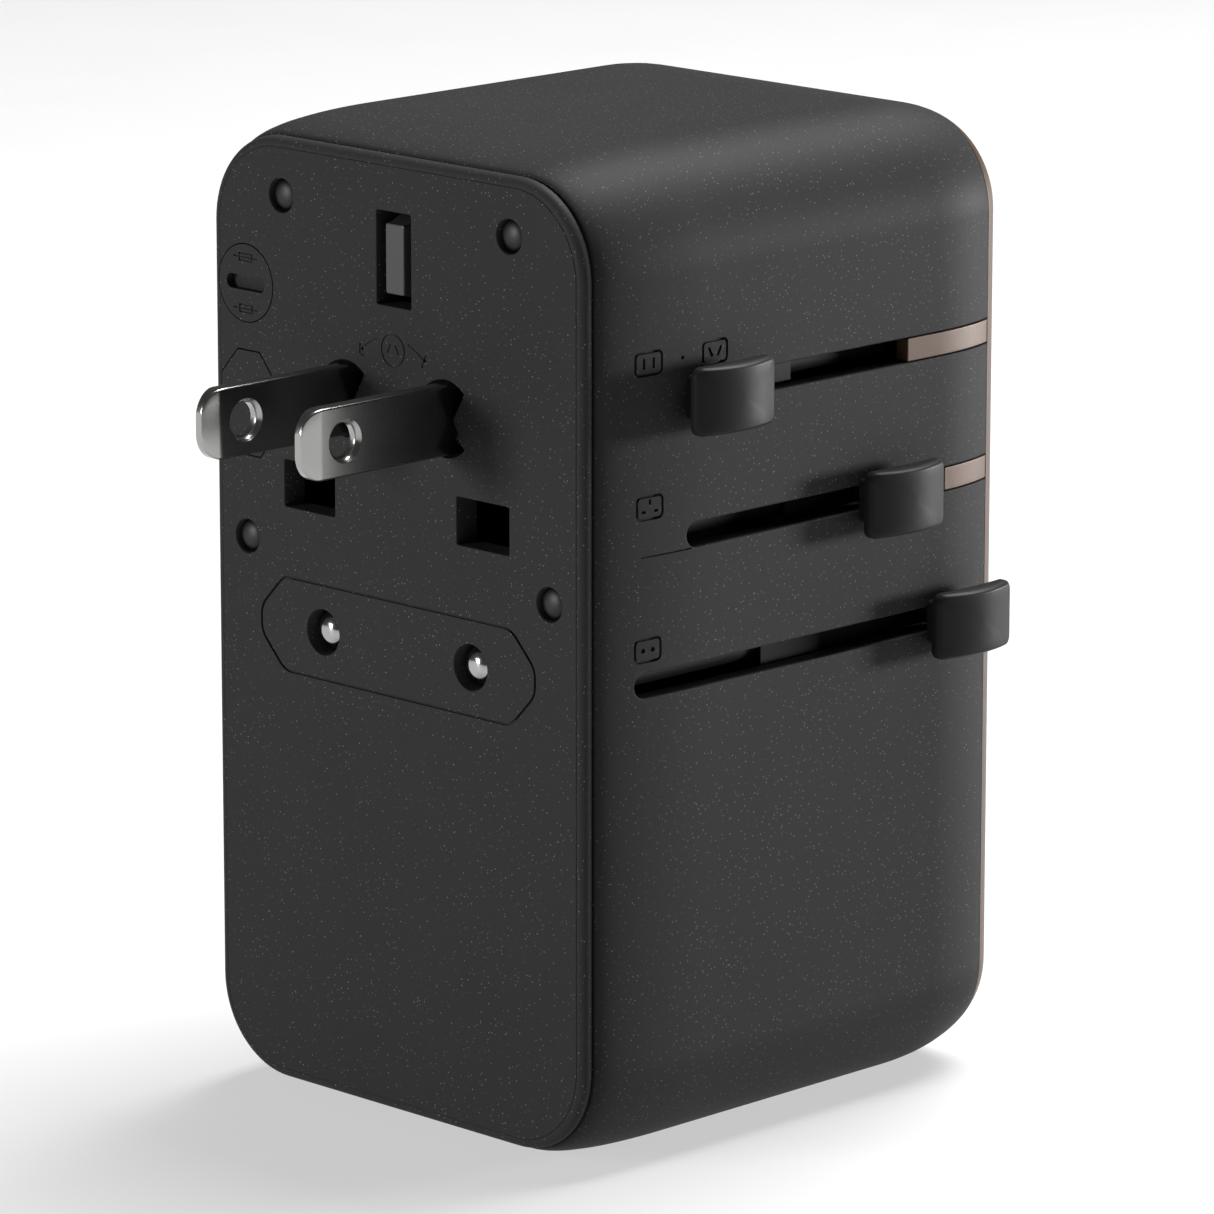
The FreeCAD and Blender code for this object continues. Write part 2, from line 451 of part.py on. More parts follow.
for s in (-1, 1):
    c = Part.makeBox(8.94, 3.2, 7.6, V(s * 6.2 - 4.47, 20.4, BASE + 0.2))
    c = c.makeFillet(1.55, [e for e in c.Edges if e.BoundBox.ZLength > 7])
    i = Part.makeBox(8.34, 2.6, 7.3, V(s * 6.2 - 4.17, 20.7, BASE))
    i = i.makeFillet(1.25, [e for e in i.Edges if e.BoundBox.ZLength > 7])
    shells.append(c.cut(i))
    tongues.append(Part.makeBox(6.6, 0.7, 6.15, V(s * 6.2 - 3.3, 21.65, BASE + 1.1)))
put("usb_c_sockets", group(shells))
put("usb_c_tongues", group(tongues))
port_board = Part.makeBox(36, 30, 1.2, V(-18, 12, BASE + 7.9))
put("port_board", port_board.cut(Part.makeBox(13.3, 5.9, 3, V(-6.65, 29.55, BASE + 7))))
put("charger_board", box(-19.0, 19.0, 45.6, 47.2, -40.0, -12.0))
core = box(-9, 9, 29.0, 45.4, -27.5, -12.5).cut(box(-6, 6, 32, 42.4, -30, -10))
core = core.fuse(box(-3, 3, 29.5, 45, -27.5, -12.5))
put("transformer_core", core)
wind = box(-5.9, 5.9, 32.1, 42.3, -25.5, -14.5).cut(box(-3.05, 3.05, 30, 44, -30, -10))
put("transformer_winding", wind)
cans = [Part.makeCylinder(4.6, 17.0, V(s * 15.6, 12.5, -29.0), V(0, 0, 1)) for s in (-1, 1)]
put("bulk_capacitors", group(cans))
put("film_capacitor", box(-21.0, -14.6, 30.0, 43.5, -25.6, -13.0))
choke = Part.makeTorus(5.0, 2.2, V(0, 15.5, -20.0), V(0, 1, 0))
put("choke", choke)
chips = [box(-8.0, -3.0, 14.0, 19.0, -35.28, -33.8), box(4.0, 11.0, 13.5, 18.5, -35.28, -33.6),
         box(-16.5, -11.5, 22.0, 27.0, -35.28, -33.8), box(12.0, 18.5, 43.9, 45.58, -38.5, -31.0)]
put("power_chips", group(chips))
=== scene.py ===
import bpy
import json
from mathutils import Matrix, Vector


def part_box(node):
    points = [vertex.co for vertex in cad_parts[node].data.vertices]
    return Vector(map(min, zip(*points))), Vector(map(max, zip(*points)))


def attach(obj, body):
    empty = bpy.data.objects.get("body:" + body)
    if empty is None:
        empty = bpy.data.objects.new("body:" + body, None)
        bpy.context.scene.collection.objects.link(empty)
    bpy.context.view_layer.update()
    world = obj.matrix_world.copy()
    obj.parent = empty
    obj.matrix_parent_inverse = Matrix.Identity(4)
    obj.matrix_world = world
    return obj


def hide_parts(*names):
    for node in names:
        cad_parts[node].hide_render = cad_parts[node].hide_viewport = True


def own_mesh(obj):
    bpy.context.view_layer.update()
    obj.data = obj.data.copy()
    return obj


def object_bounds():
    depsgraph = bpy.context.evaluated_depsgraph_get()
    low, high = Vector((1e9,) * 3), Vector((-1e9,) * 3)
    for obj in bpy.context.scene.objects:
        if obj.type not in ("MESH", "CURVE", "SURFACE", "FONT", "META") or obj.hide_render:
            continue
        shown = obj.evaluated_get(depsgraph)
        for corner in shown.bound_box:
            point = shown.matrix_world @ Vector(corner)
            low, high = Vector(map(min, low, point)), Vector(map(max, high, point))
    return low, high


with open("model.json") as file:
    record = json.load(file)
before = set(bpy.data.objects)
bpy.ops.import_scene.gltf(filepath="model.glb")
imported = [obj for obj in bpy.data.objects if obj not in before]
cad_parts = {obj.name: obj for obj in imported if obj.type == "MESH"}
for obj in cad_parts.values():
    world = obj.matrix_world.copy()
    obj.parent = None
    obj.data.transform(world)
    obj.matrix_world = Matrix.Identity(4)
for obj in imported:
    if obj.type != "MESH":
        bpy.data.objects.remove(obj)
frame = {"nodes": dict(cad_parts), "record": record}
cad_box = [list(corner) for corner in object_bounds()]

import json
import math

import bmesh
import bpy
import numpy as np
from mathutils import Matrix, Vector

# ---------------------------------------------------------------- view, table and light
# The adapter stands on a white table that glows a little, between three soft lamps: a low one beyond
# the slider side, one in front of the plug face and one above. The camera is a long lens that looks
# at the corner between the plug face and the slider side, from a little above.
AZIMUTH, ELEVATION, ROLL = (math.radians(a) for a in (44.834, 13.196, 0.031))
side_on = Vector((math.cos(AZIMUTH), math.sin(AZIMUTH), 0))
away = Vector((math.sin(AZIMUTH) * math.cos(ELEVATION), -math.cos(AZIMUTH) * math.cos(ELEVATION),
               math.sin(ELEVATION)))
upright = away.cross(side_on)
rolled = (side_on * math.cos(ROLL) + upright * math.sin(ROLL),
          upright * math.cos(ROLL) - side_on * math.sin(ROLL), away)
CAMERA_AT, LENS = (0.46201, -0.46507, 0.19754), 218.25
camera = bpy.data.objects.new("camera", bpy.data.cameras.new("camera"))
camera.data.lens, camera.data.sensor_width = LENS, 36.0
camera.data.clip_start, camera.data.clip_end = 0.02, 20.0
camera.matrix_world = Matrix.Translation(CAMERA_AT) @ Matrix(rolled).transposed().to_4x4()
bpy.context.scene.collection.objects.link(camera)
bpy.context.scene.camera = camera
bpy.context.scene.view_settings.view_transform = "Standard"


class Wire:
    """A shader socket. Arithmetic on it adds Math nodes, and node() adds any other kind."""

    def __init__(self, tree, out=None):
        self.tree, self.out = tree, out

    def node(self, kind, settings=None, sockets=None, give=0):
        """Adds a node, sets its settings first, then gives its sockets values or links."""
        made = self.tree.nodes.new(kind)
        for key, value in (settings or {}).items():
            setattr(made, key, value)
        for key, value in (sockets or {}).items():
            if isinstance(value, Wire):
                self.tree.links.new(value.out, made.inputs[key])
            else:
                made.inputs[key].default_value = value
        return Wire(self.tree, made.outputs[give] if len(made.outputs) else None)

    def math(self, operation, *terms):
        return self.node("ShaderNodeMath", {"operation": operation}, dict(enumerate(terms)))

    def __add__(self, other):
        return self.math("ADD", self, other)

    def __sub__(self, other):
        return self.math("SUBTRACT", self, other)

    def __rsub__(self, other):
        return self.math("SUBTRACT", other, self)

    def __mul__(self, other):
        return self.math("MULTIPLY", self, other)

    __radd__, __rmul__ = __add__, __mul__

    def ease(self, low, high):
        """0 below low, 1 above high, and a smooth S between."""
        return self.node("ShaderNodeMapRange", {"interpolation_type": "SMOOTHSTEP"},
                         {"Value": self, "From Min": low, "From Max": high})

    def blend(self, a, b):
        """Colour a where this wire is 0 and colour b where it is 1."""
        ends = {k: v if isinstance(v, Wire) else (*v, 1) for k, v in ((6, a), (7, b))}
        return self.node("ShaderNodeMix", {"data_type": "RGBA"}, {0: self, **ends}, give=2)

    def noise(self, place, scale, detail=2.0, rough=0.5):
        return self.node("ShaderNodeTexNoise", {}, {"Vector": place, "Scale": scale, "Detail": detail,
                                                    "Roughness": rough})


def finish(name, make):
    """A material whose surface is what make(start, place) returns; place is the object's own metres."""
    material = bpy.data.materials.new(name)
    material.use_nodes = True
    material.node_tree.nodes.clear()
    start = Wire(material.node_tree)
    place = start.node("ShaderNodeTexCoord", give=3)
    start.node("ShaderNodeOutputMaterial", {}, {"Surface": make(start, place)})
    return material


TABLE_HALF, TABLE_GLOW, ROOM_LIGHT = 6.0, 0.53, 0.07


def table_finish(start, place):
    grain = start.noise(place, 40.0)
    tone = grain.blend((0.25, 0.25, 0.25), (0.27, 0.27, 0.27))
    return start.node("ShaderNodeBsdfPrincipled", {}, {
        "Base Color": tone, "Roughness": 0.7 + 0.1 * grain, "Specular IOR Level": 0.2,
        "Emission Color": (1, 1, 1, 1), "Emission Strength": TABLE_GLOW})


table = bpy.data.objects.new("table", bpy.data.meshes.new("table"))
table.data.from_pydata([(x * TABLE_HALF, y * TABLE_HALF, cad_box[0][2] - 0.0001)
                        for x, y in ((-1, -1), (1, -1), (1, 1), (-1, 1))], [], [(0, 1, 2, 3)])
table.data.materials.append(finish("white_table", table_finish))
bpy.context.scene.collection.objects.link(table)

room = bpy.data.worlds.new("room")
room.use_nodes = True
room.node_tree.nodes["Background"].inputs["Color"].default_value = (1, 1, 1, 1)
room.node_tree.nodes["Background"].inputs["Strength"].default_value = ROOM_LIGHT
bpy.context.scene.world = room

AIM = Vector((0, 0, 0.05))
for name, spot, size, watts in (("rear_side_box", (0.42, 0.92, 0.03), (0.18, 0.24), 24.0),
                                ("left_box", (-0.36, -0.88, 0.20), (0.20, 0.24), 6.4),
                                ("top_box", (0.00, 0.40, 0.82), (0.5, 0.6), 19.0)):
    lamp = bpy.data.objects.new(name, bpy.data.lights.new(name, "AREA"))
    lamp.data.shape, (lamp.data.size, lamp.data.size_y) = "RECTANGLE", size
    lamp.data.energy = watts
    lamp.matrix_world = (Matrix.Translation(spot)
                         @ (Vector(spot) - AIM).to_track_quat("Z", "Y").to_matrix().to_4x4())
    bpy.context.scene.collection.objects.link(lamp)

# ---------------------------------------------------------------- outer sleeve
# The wrap-round case wall, injection moulded in charcoal ABS with pale flecks in the resin. Three
# slots for the sliders are open towards the back, where the copper cover's tongues close the upper two.
MM = 0.001
FACE_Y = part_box("plug_face_cap")[0].y
PIN_Z = (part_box("eu_pin_left")[0].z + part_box("eu_pin_left")[1].z) / 2
HALF_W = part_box("housing_sleeve")[1].x / MM
TOP, BASE = ((z - PIN_Z) / MM for z in (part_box("housing_sleeve")[1].z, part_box("housing_sleeve")[0].z))
DEPTH = (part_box("rear_cover")[1].y - FACE_Y) / MM
SEAM = (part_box("housing_sleeve")[1].y - FACE_Y) / MM
LIP = (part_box("housing_sleeve")[0].y - FACE_Y) / MM
MIDDLE, HALF_H = (0, (TOP + BASE) / 2), (TOP - BASE) / 2
CORNER, WALL = 10.0, 1.7
FRONT_IN, FRONT_RUN, BACK_IN, BACK_RUN = 1.52, 12.4, 3.55, 10.4


def sections(a, b, r, centre=(0, 0), steps=8, span=0):
    """Rounded rectangles, one per entry of a, b and r, as an array [section, point, 2]. A point is
    its corner's centre, (a - r, b - r) out from the middle, plus r times a unit vector that turns
    through that corner's quarter; span more points divide each straight side evenly."""
    a, b, r, cx, cy = (np.atleast_1d(np.asarray(v, float))[:, None, None] for v in (a, b, r, *centre))
    quarter = np.arange(4)[:, None] * np.pi / 2
    turn = quarter + np.linspace(0, np.pi / 2, steps + 1)
    sx, sy = np.sign(np.cos(quarter + np.pi / 4)), np.sign(np.sin(quarter + np.pi / 4))
    x = cx + sx * (a - r) + r * np.cos(turn)
    y = cy + sy * (b - r) + r * np.sin(turn)
    points = np.stack(np.broadcast_arrays(x, y), -1)
    after = np.roll(points[:, :, :1], -1, 1)
    share = (np.arange(1, span + 1) / (span + 1))[:, None]
    straight = points[:, :, -1:] + (after - points[:, :, -1:]) * share
    return np.concatenate([points, straight], 2).reshape(len(points), -1, 2)


def solid(name, grid, loop=False):
    """Closed mesh over grid[ring, point, xyz], given in plug millimetres. Neighbouring rings are
    joined by quads; the end rings get a face each, or with loop the last ring meets the first."""
    rings, around = grid.shape[:2]
    index = np.arange(rings * around).reshape(rings, around)
    low, high = (index, np.roll(index, -1, 0)) if loop else (index[:-1], index[1:])
    quads = np.stack([low, np.roll(low, -1, 1), np.roll(high, -1, 1), high], -1).reshape(-1, 4)
    faces = quads.tolist() + ([] if loop else [index[0][::-1].tolist(), index[-1].tolist()])
    points = grid.reshape(-1, 3) * MM + np.array([0, FACE_Y, PIN_Z])
    mesh = bpy.data.meshes.new(name)
    mesh.from_pydata(points.tolist(), [], faces)
    shape = bmesh.new()
    shape.from_mesh(mesh)
    if shape.calc_volume(signed=True) < 0:
        bmesh.ops.reverse_faces(shape, faces=shape.faces)
    shape.to_mesh(mesh)
    shape.free()
    piece = bpy.data.objects.new(name, mesh)
    bpy.context.scene.collection.objects.link(piece)
    return piece


def joined(pieces):
    """One object that holds the meshes of all the pieces, under the first one's name."""
    shape = bmesh.new()
    for piece in pieces:
        shape.from_mesh(piece.data)
    shape.to_mesh(pieces[0].data)
    shape.free()
    for piece in pieces[1:]:
        bpy.data.objects.remove(piece)
    return pieces[0]


def carve(piece, cutters):
    """Cuts the joined cutters out of the piece for good."""
    tool = joined(cutters)
    cut = piece.modifiers.new("cut", "BOOLEAN")
    cut.operation, cut.solver, cut.object = "DIFFERENCE", "EXACT", tool
    cut.use_self = len(cutters) > 1
    settle(piece)
    bpy.data.objects.remove(tool)


def settle(piece):
    """Replaces the piece's mesh by what its modifiers make of it."""
    bpy.context.view_layer.update()
    made = bpy.data.meshes.new_from_object(piece.evaluated_get(bpy.context.evaluated_depsgraph_get()))
    piece.modifiers.clear()
    piece.data = made


def dress(piece, material, body, nodes, sharp=32):
    """Smooth shading up to the sharp angle, the material, the body it rides on and what it replaces."""
    bpy.context.view_layer.update()
    piece.data.shade_smooth()
    piece.data.set_sharp_from_angle(angle=math.radians(sharp))
    even = piece.modifiers.new("even_shading", "WEIGHTED_NORMAL")
    even.keep_sharp, even.weight = True, 60
    settle(piece)
    piece.data.materials.clear()
    piece.data.materials.append(material)
    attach(piece, body)
    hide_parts(*nodes)
    return piece


def repaint(material, *nodes):
    """Gives carried-over CAD nodes their material."""
    for node in nodes:
        for held in frame["nodes"][node].material_slots:
            held.material = material


def curve_in(y):
    """How far the outside lies inside the widest section at depth y: a quarter ellipse behind the
    plug face and another towards the back."""
    front = np.clip((LIP + FRONT_RUN - y) / FRONT_RUN, 0, 1)
    back = np.clip((y - DEPTH + BACK_RUN) / BACK_RUN, 0, 1)
    return FRONT_IN * (1 - np.sqrt(1 - front ** 2)) + BACK_IN * (1 - np.sqrt(1 - back ** 2))


def body_rings(y, inset):
    """The case's rounded rectangle carried along depth y, pulled in by inset."""
    flat = sections(HALF_W - inset, HALF_H - inset, CORNER - inset, MIDDLE, steps=18)
    return np.stack([flat[..., 0], np.broadcast_to(y[:, None], flat.shape[:2]), flat[..., 1]], -1)


def on_side(flat, up):
    """Flat (depth, height) drawings laid on the slider side, up millimetres above its surface."""
    up = np.asarray(up, float)[:, None]
    return np.stack([HALF_W - curve_in(flat[..., 0]) + up, flat[..., 0], flat[..., 1]], -1)


def on_base(flat, up):
    up = np.broadcast_to(np.asarray(up, float)[:, None], flat.shape[:2])
    return np.stack([flat[..., 0], flat[..., 1], BASE - up], -1)


def mouth(radius, deep, proud=0.4, steps=4):
    """Offsets and heights of a hole's wall: straight up from deep, then out over a rounded edge,
    offset = radius * (1 - sin t) and height = -radius * (1 - cos t)."""
    t = np.linspace(np.pi / 2, 0, steps + 1)
    return (np.concatenate([[0], radius * (1 - np.sin(t)), [radius + 0.02]]),
            np.concatenate([[-deep], -radius * (1 - np.cos(t)), [proud]]))


def groove(name, a, b, r, centre, width, deep, lay, steps=12, span=0):
    """A closed ring that cuts a line of that width and depth round a rounded rectangle."""
    off = np.array([-1, 1, 1, -1]) * width / 2
    flat = sections(a + off, b + off, r + off, centre, steps, span)
    return solid(name, lay(flat, np.array([0.3, 0.3, -deep, -deep])), loop=True)


FLECK_CELLS, DUST_CELLS = 2300.0, 4600.0        # cells in a metre
FLECK_GAIN, DUST_GAIN = 6.5, 3.4                # how much paler than the resin


def speckled(tone):
    """Charcoal resin with pale flecks: dots where a random point in each cell comes near the surface,
    two sizes of them, over a soft mottle; spark-eroded grain in the bump."""
    def make(start, place):
        coarse = start.node("ShaderNodeTexVoronoi", {}, {"Vector": place, "Scale": FLECK_CELLS})
        fine = start.node("ShaderNodeTexVoronoi", {}, {"Vector": place, "Scale": DUST_CELLS})
        chance = start.node("ShaderNodeTexVoronoi", {}, {"Vector": place, "Scale": FLECK_CELLS}, give=1)
        lot = start.node("ShaderNodeSeparateColor", {}, {"Color": chance})
        patches = start.noise(place, 220.0, 3.0).ease(0.40, 0.62)
        fleck = (1 - coarse.ease(0.08, 0.18)) * (0.2 + 0.8 * lot)
        dust = (1 - fine.ease(0.05, 0.12)) * 0.4 * (0.3 + 0.7 * patches)
        mottle = start.noise(place, 90.0, 4.0)
        base = mottle.blend([c * 0.93 for c in tone], [c * 1.07 for c in tone])
        dusty = dust.blend(base, [c * DUST_GAIN for c in tone])
        colour = fleck.blend(dusty, [c * FLECK_GAIN for c in tone])
        grain = start.noise(place, 7000.0, 2.0, 0.6)
        soft = start.noise(place, 1500.0, 2.0)
        relief = start.node("ShaderNodeBump", {}, {
            "Strength": 0.22, "Distance": 0.00008, "Height": grain * 0.7 + soft * 0.3})
        return start.node("ShaderNodeBsdfPrincipled", {}, {
            "Base Color": colour, "Roughness": 0.45 + 0.10 * grain + 0.05 * mottle,
            "Specular IOR Level": 0.04, "Normal": relief})
    return make


sleeve_finish = finish("speckled_charcoal", speckled((0.0225, 0.0225, 0.0225)))

arc = np.linspace(0, np.pi / 2, 16)
back_arc = np.linspace(0, math.asin((SEAM - DEPTH + BACK_RUN) / BACK_RUN), 9)
out_y = np.concatenate([LIP + FRONT_RUN * (1 - np.cos(arc)), [22, 30, 38],
                        DEPTH - BACK_RUN + BACK_RUN * np.sin(back_arc)])
out_t = np.concatenate([FRONT_IN * (1 - np.sin(arc)), [0, 0, 0], BACK_IN * (1 - np.cos(back_arc))])
sleeve = solid("outer_sleeve", body_rings(np.concatenate([out_y, out_y[::-1]]),
                                          np.concatenate([out_t, out_t[::-1] + WALL])), loop=True)

# Each slot's front end, lower edge and upper edge.
SLOTS = {"us_knob": (11.5, 23.95, 26.25), "uk_knob": (11.3, 11.38, 13.66),
         "eu_knob": (5.2, -1.27, 1.01)}
off, rise = mouth(0.15, 3.4)


def slot_tool(y0, z0, z1):
    """A slot's cutter, a cross-section carried along the wall: half a circle opens it,
    y = y0 + r (1 - cos t) and half height = r sin t, and the eased mouth widens it along its normal."""
    r, t = (z1 - z0) / 2, np.linspace(0.04, np.pi / 2, 9)
    run = np.concatenate([y0 + r * (1 - np.cos(t)), np.linspace(y0 + r + 0.8, SEAM + 1.5, 34)])[:, None]
    half = np.concatenate([r * np.sin(t), np.full(34, r)])[:, None]
    lead = np.concatenate([-np.cos(t), np.zeros(34)])[:, None]
    y, h = run + off * lead, half + off * np.sqrt(1 - lead ** 2)
    y, h = np.concatenate([y, y[:, ::-1]], 1), np.concatenate([h, -h[:, ::-1]], 1)
    up = np.concatenate([rise, rise[::-1]]) + 0 * y
    return solid("slot_tool", np.stack([HALF_W - curve_in(y) + up, y, (z0 + z1) / 2 + h], -1))


tools = [slot_tool(*place) for place in SLOTS.values()]
PORT_A, PORT_B, PORT_R, PORT_AT = 12.5, 10.75, 1.5, (0, 27.25)
even = 0 * off
tools.append(solid("port_tool", on_base(sections(PORT_A + even, PORT_B + even, PORT_R + even, PORT_AT),
                                        rise)))
carve(sleeve, tools)

# Pin pictures pressed into the wall in front of each slot: bars in a rounded frame.
MARK_DEEP, STROKE = 0.28, 0.26
marks = []
for y, z, half_y in ((6.75, 28.5, 1.5), (14.7, 28.5, 1.5), (6.9, 15.75, 1.45), (6.7, 3.05, 1.45)):
    marks.append(groove("mark", half_y, 1.0, 0.45, (y, z), STROKE, MARK_DEEP, on_side, 6, 6))
deep = np.array([-MARK_DEEP, 0.3])
for y, z, a, b, lean in ((6.2, 28.5, 0.14, 0.5, 0), (7.3, 28.5, 0.14, 0.5, 0),
                         (14.15, 28.5, 0.14, 0.5, 28), (15.25, 28.5, 0.14, 0.5, -28),
                         (10.7, 28.5, 0.18, 0.18, 0), (6.9, 16.25, 0.13, 0.27, 0),
                         (6.2, 15.4, 0.26, 0.12, 0), (7.6, 15.4, 0.26, 0.12, 0),
                         (6.15, 3.05, 0.22, 0.22, 0), (7.25, 3.05, 0.22, 0.22, 0)):
    flat = sections([a, a], [b, b], min(a, b) * np.array([0.9, 0.9]), (0, 0), 6)
    c, s = math.cos(math.radians(lean)), math.sin(math.radians(lean))
    flat = flat @ np.array([[c, s], [-s, c]]) + (y, z)
    marks.append(solid("mark", on_side(flat, deep)))
# The strip that fills the front of the middle slot is flush, and shows as a fine line under it.
SEAM_FROM, SEAM_TO, SEAM_HALF, SEAM_DEEP = 5.9, 11.9, 0.07, 0.22
line_z = SLOTS["uk_knob"][1]
seam = np.array([[(SEAM_FROM, line_z - SEAM_HALF), (SEAM_TO, line_z - SEAM_HALF),
                  (SEAM_TO, line_z + SEAM_HALF), (SEAM_FROM, line_z + SEAM_HALF)]] * 2)
marks.append(solid("filler_seam", on_side(seam, np.array([-SEAM_DEEP, 0.3]))))
carve(sleeve, marks)
dress(sleeve, sleeve_finish, "shell", ["housing_sleeve", "uk_slot_filler"])

# ---------------------------------------------------------------- plug face cap
# The flat front plate, snapped into the sleeve and held by four screws. Same resin as the sleeve, with
# painted light: its tone is set a little lighter than the sleeve's so the plug face shows as lit, with a
# faint warm tint of its own; a fine step runs inside its rounded rim, and every pin has its own opening.
US_X, US_Z, UK_X, UK_Z, EARTH_Z, EU_X = 6.35, 21.9, 11.115, 13.01, 35.24, 9.5
SCREWS = ((14.5, 39.15), (-14.5, 39.15), (19.4, 7.3), (-19.4, 7.3))
COIN_X, COIN_Z, COIN_R = -19.3, 30.6, 3.52
# Painted light: the plug face's resin gets a lighter tone than the sleeve's to stand in for the light on
# the face; the faint warm tint is its own.
face_finish_painted_light = finish("speckled_face", speckled((0.0262, 0.0249, 0.0256)))


def on_face(flat, up):
    up = np.broadcast_to(np.asarray(up, float)[:, None], flat.shape[:2])
    return np.stack([flat[..., 0], -up, flat[..., 1]], -1)


def rounded(corners, r, steps=5):
    """Outline through corners, given anticlockwise, each turned into an arc of radius r. The arc's
    centre lies r / cos(half turn) from the corner, and a point is the centre plus r times a normal
    that swings from one edge's normal to the next. Returns points and their outward normals."""
    c = np.asarray(corners, float)
    come, go = c - np.roll(c, 1, 0), np.roll(c, -1, 0) - c
    come, go = (d / np.linalg.norm(d, axis=1, keepdims=True) for d in (come, go))
    turn = np.arctan2(come[:, 0] * go[:, 1] - come[:, 1] * go[:, 0], (come * go).sum(1))
    first = np.arctan2(-come[:, 0], come[:, 1])
    heading = first[:, None] + turn[:, None] * np.linspace(0, 1, steps + 1)
    normal = np.stack([np.cos(heading), np.sin(heading)], -1)
    middle = first + turn / 2
    bisector = np.stack([np.cos(middle), np.sin(middle)], -1)
    side = np.sign(turn)[:, None]
    centre = c - side * r / np.cos(turn / 2)[:, None] * bisector
    points = centre[:, None] + side[:, None] * r * normal
    return points.reshape(-1, 2), normal.reshape(-1, 2)


def along(outline, off):
    """The outline moved out along its normals by each offset in turn."""
    points, normal = outline
    return points[None] + np.asarray(off, float)[:, None, None] * normal[None]


RIM, STEP_IN, ROUND, SKIRT_IN, SKIRT_TO = 1.0, 0.95, 0.75, 1.85, 2.5
t = np.linspace(0, np.pi / 2, 8)
rim_y = np.concatenate([[0, 0.07, 0.03], ROUND * (1 - np.cos(t)), [RIM, RIM, SKIRT_TO]])
rim_in = np.concatenate([[STEP_IN, STEP_IN - 0.05, STEP_IN - 0.1], ROUND * (1 - np.sin(t)),
                         [0, SKIRT_IN, SKIRT_IN]])
cap = solid("plug_face", body_rings(rim_y, FRONT_IN + rim_in))

tools = []
off, rise = mouth(0.10, 4.0)
for x, z, a, b, r in ((0, EARTH_Z, 2.195, 4.235, 0.2), (UK_X, UK_Z, 3.305, 2.175, 0.2),
                      (-UK_X, UK_Z, 3.305, 2.175, 0.2), (EU_X, 0, 2.1, 2.1, 2.1),
                      (-EU_X, 0, 2.1, 2.1, 2.1)):
    tools.append(solid("pin_tool", on_face(sections(a + off, b + off, r + off, (x, z), 14), rise)))
for x, z in SCREWS:
    wide = np.array([1.2, 1.2, 1.53, 1.53, 1.55, 1.62, 1.68])
    tools.append(solid("screw_tool", on_face(sections(wide, wide, wide, (x, z), 10),
                                             [-4, -1.5, -1.5, -0.3, -0.1, 0, 0.4])))
lobe = math.radians(44.5)
fan = np.linspace(-lobe, lobe, 9)
for s in (-1, 1):
    ends = np.stack([3.5 * np.sin(fan), -3.5 * np.cos(fan)], -1)
    glass = np.concatenate([ends, [(1.05, 0)], -ends, [(-1.05, 0)]])
    shape = rounded(glass, 0.05, 1)
    tools.append(solid("blade_tool", on_face(along(shape, off * 0.8) + (s * US_X, US_Z), rise)))
CARRIER = ((-20.4, 14.9), (-17.6, 14.9), (-15.6, 17.3), (-15.6, 22.0),
           (-17.6, 24.4), (-20.4, 24.4), (-22.6, 22.0), (-22.6, 17.3))
tools.append(solid("carrier_tool", on_face(along(rounded(CARRIER, 0.15), 0.12 + off * 0.5), rise)))
wide = COIN_R + 0.09 + off * 0.5
tools.append(solid("coin_tool", on_face(sections(wide, wide, wide, (COIN_X, COIN_Z), 14),
                                        np.where(rise < -3, -1.05, rise))))
wide = np.array([2.6, 2.6])
tools.append(solid("coin_neck_tool", on_face(sections(wide, wide, wide, (COIN_X, COIN_Z), 10),
                                             [-4, -0.9])))
carve(cap, tools)

# Fine lines: the two-pin outline, and the turn-the-blades sign of a socket between two arrows.
EURO = ((-14.6, -4.35), (14.6, -4.35), (17.6, -1.2), (17.6, 1.2), (14.6, 4.35), (-14.6, 4.35),
        (-17.6, 1.2), (-17.6, -1.2))
EURO_R, EURO_HALF, EURO_DEEP = 2.2, 0.13, 0.25
line = np.array([-1, 1, 1, -1]) * EURO_HALF
lines = [solid("euro_line", on_face(along(rounded(EURO, EURO_R, 10), line),
                                    [0.3, 0.3, -EURO_DEEP, -EURO_DEEP]), loop=True)]
ICON_X, ICON_Z, ARC_R = -0.14, 27.1, 6.0
lines.append(groove("icon_ring", 1.45, 1.45, 1.45, (ICON_X, ICON_Z), 0.14, 0.10, on_face, 10))
shallow = np.array([-0.10, 0.3])
for s in (-1, 1):
    swing = np.linspace(0.32, 0.74, 8)
    edge = [np.stack([ICON_X + s * r * np.sin(swing), ICON_Z - 4.9 + r * np.cos(swing)], -1)
            for r in (ARC_R - 0.09, ARC_R + 0.09)]
    band = np.concatenate([edge[0], edge[1][::-1]])
    lines.append(solid("icon_arc", on_face(np.stack([band, band]), shallow)))
    tip = np.array([edge[0][-1], edge[1][-1]]).mean(0)
    head = tip + np.array([(0, 0), (-s * 0.05, 0.95), (-s * 0.25, 0.95),
                           (-s * 0.75, -0.1), (-s * 0.6, -0.25)])
    lines.append(solid("icon_head", on_face(np.stack([head, head]) + (s * 0.3, -0.35), shallow)))
    bar = sections([0.09, 0.09], [0.42, 0.42], [0.08, 0.08], (0, 0), 4)
    bar = bar + bar[..., 1:] * (-s * 0.45, 0) + (ICON_X + s * 0.5, ICON_Z + 0.1)
    lines.append(solid("icon_bar", on_face(bar, shallow)))
carve(cap, lines)
dress(cap, face_finish_painted_light, "shell", ["plug_face_cap"])
repaint(face_finish_painted_light, "spare_fuse_cap", "fuse_carrier")

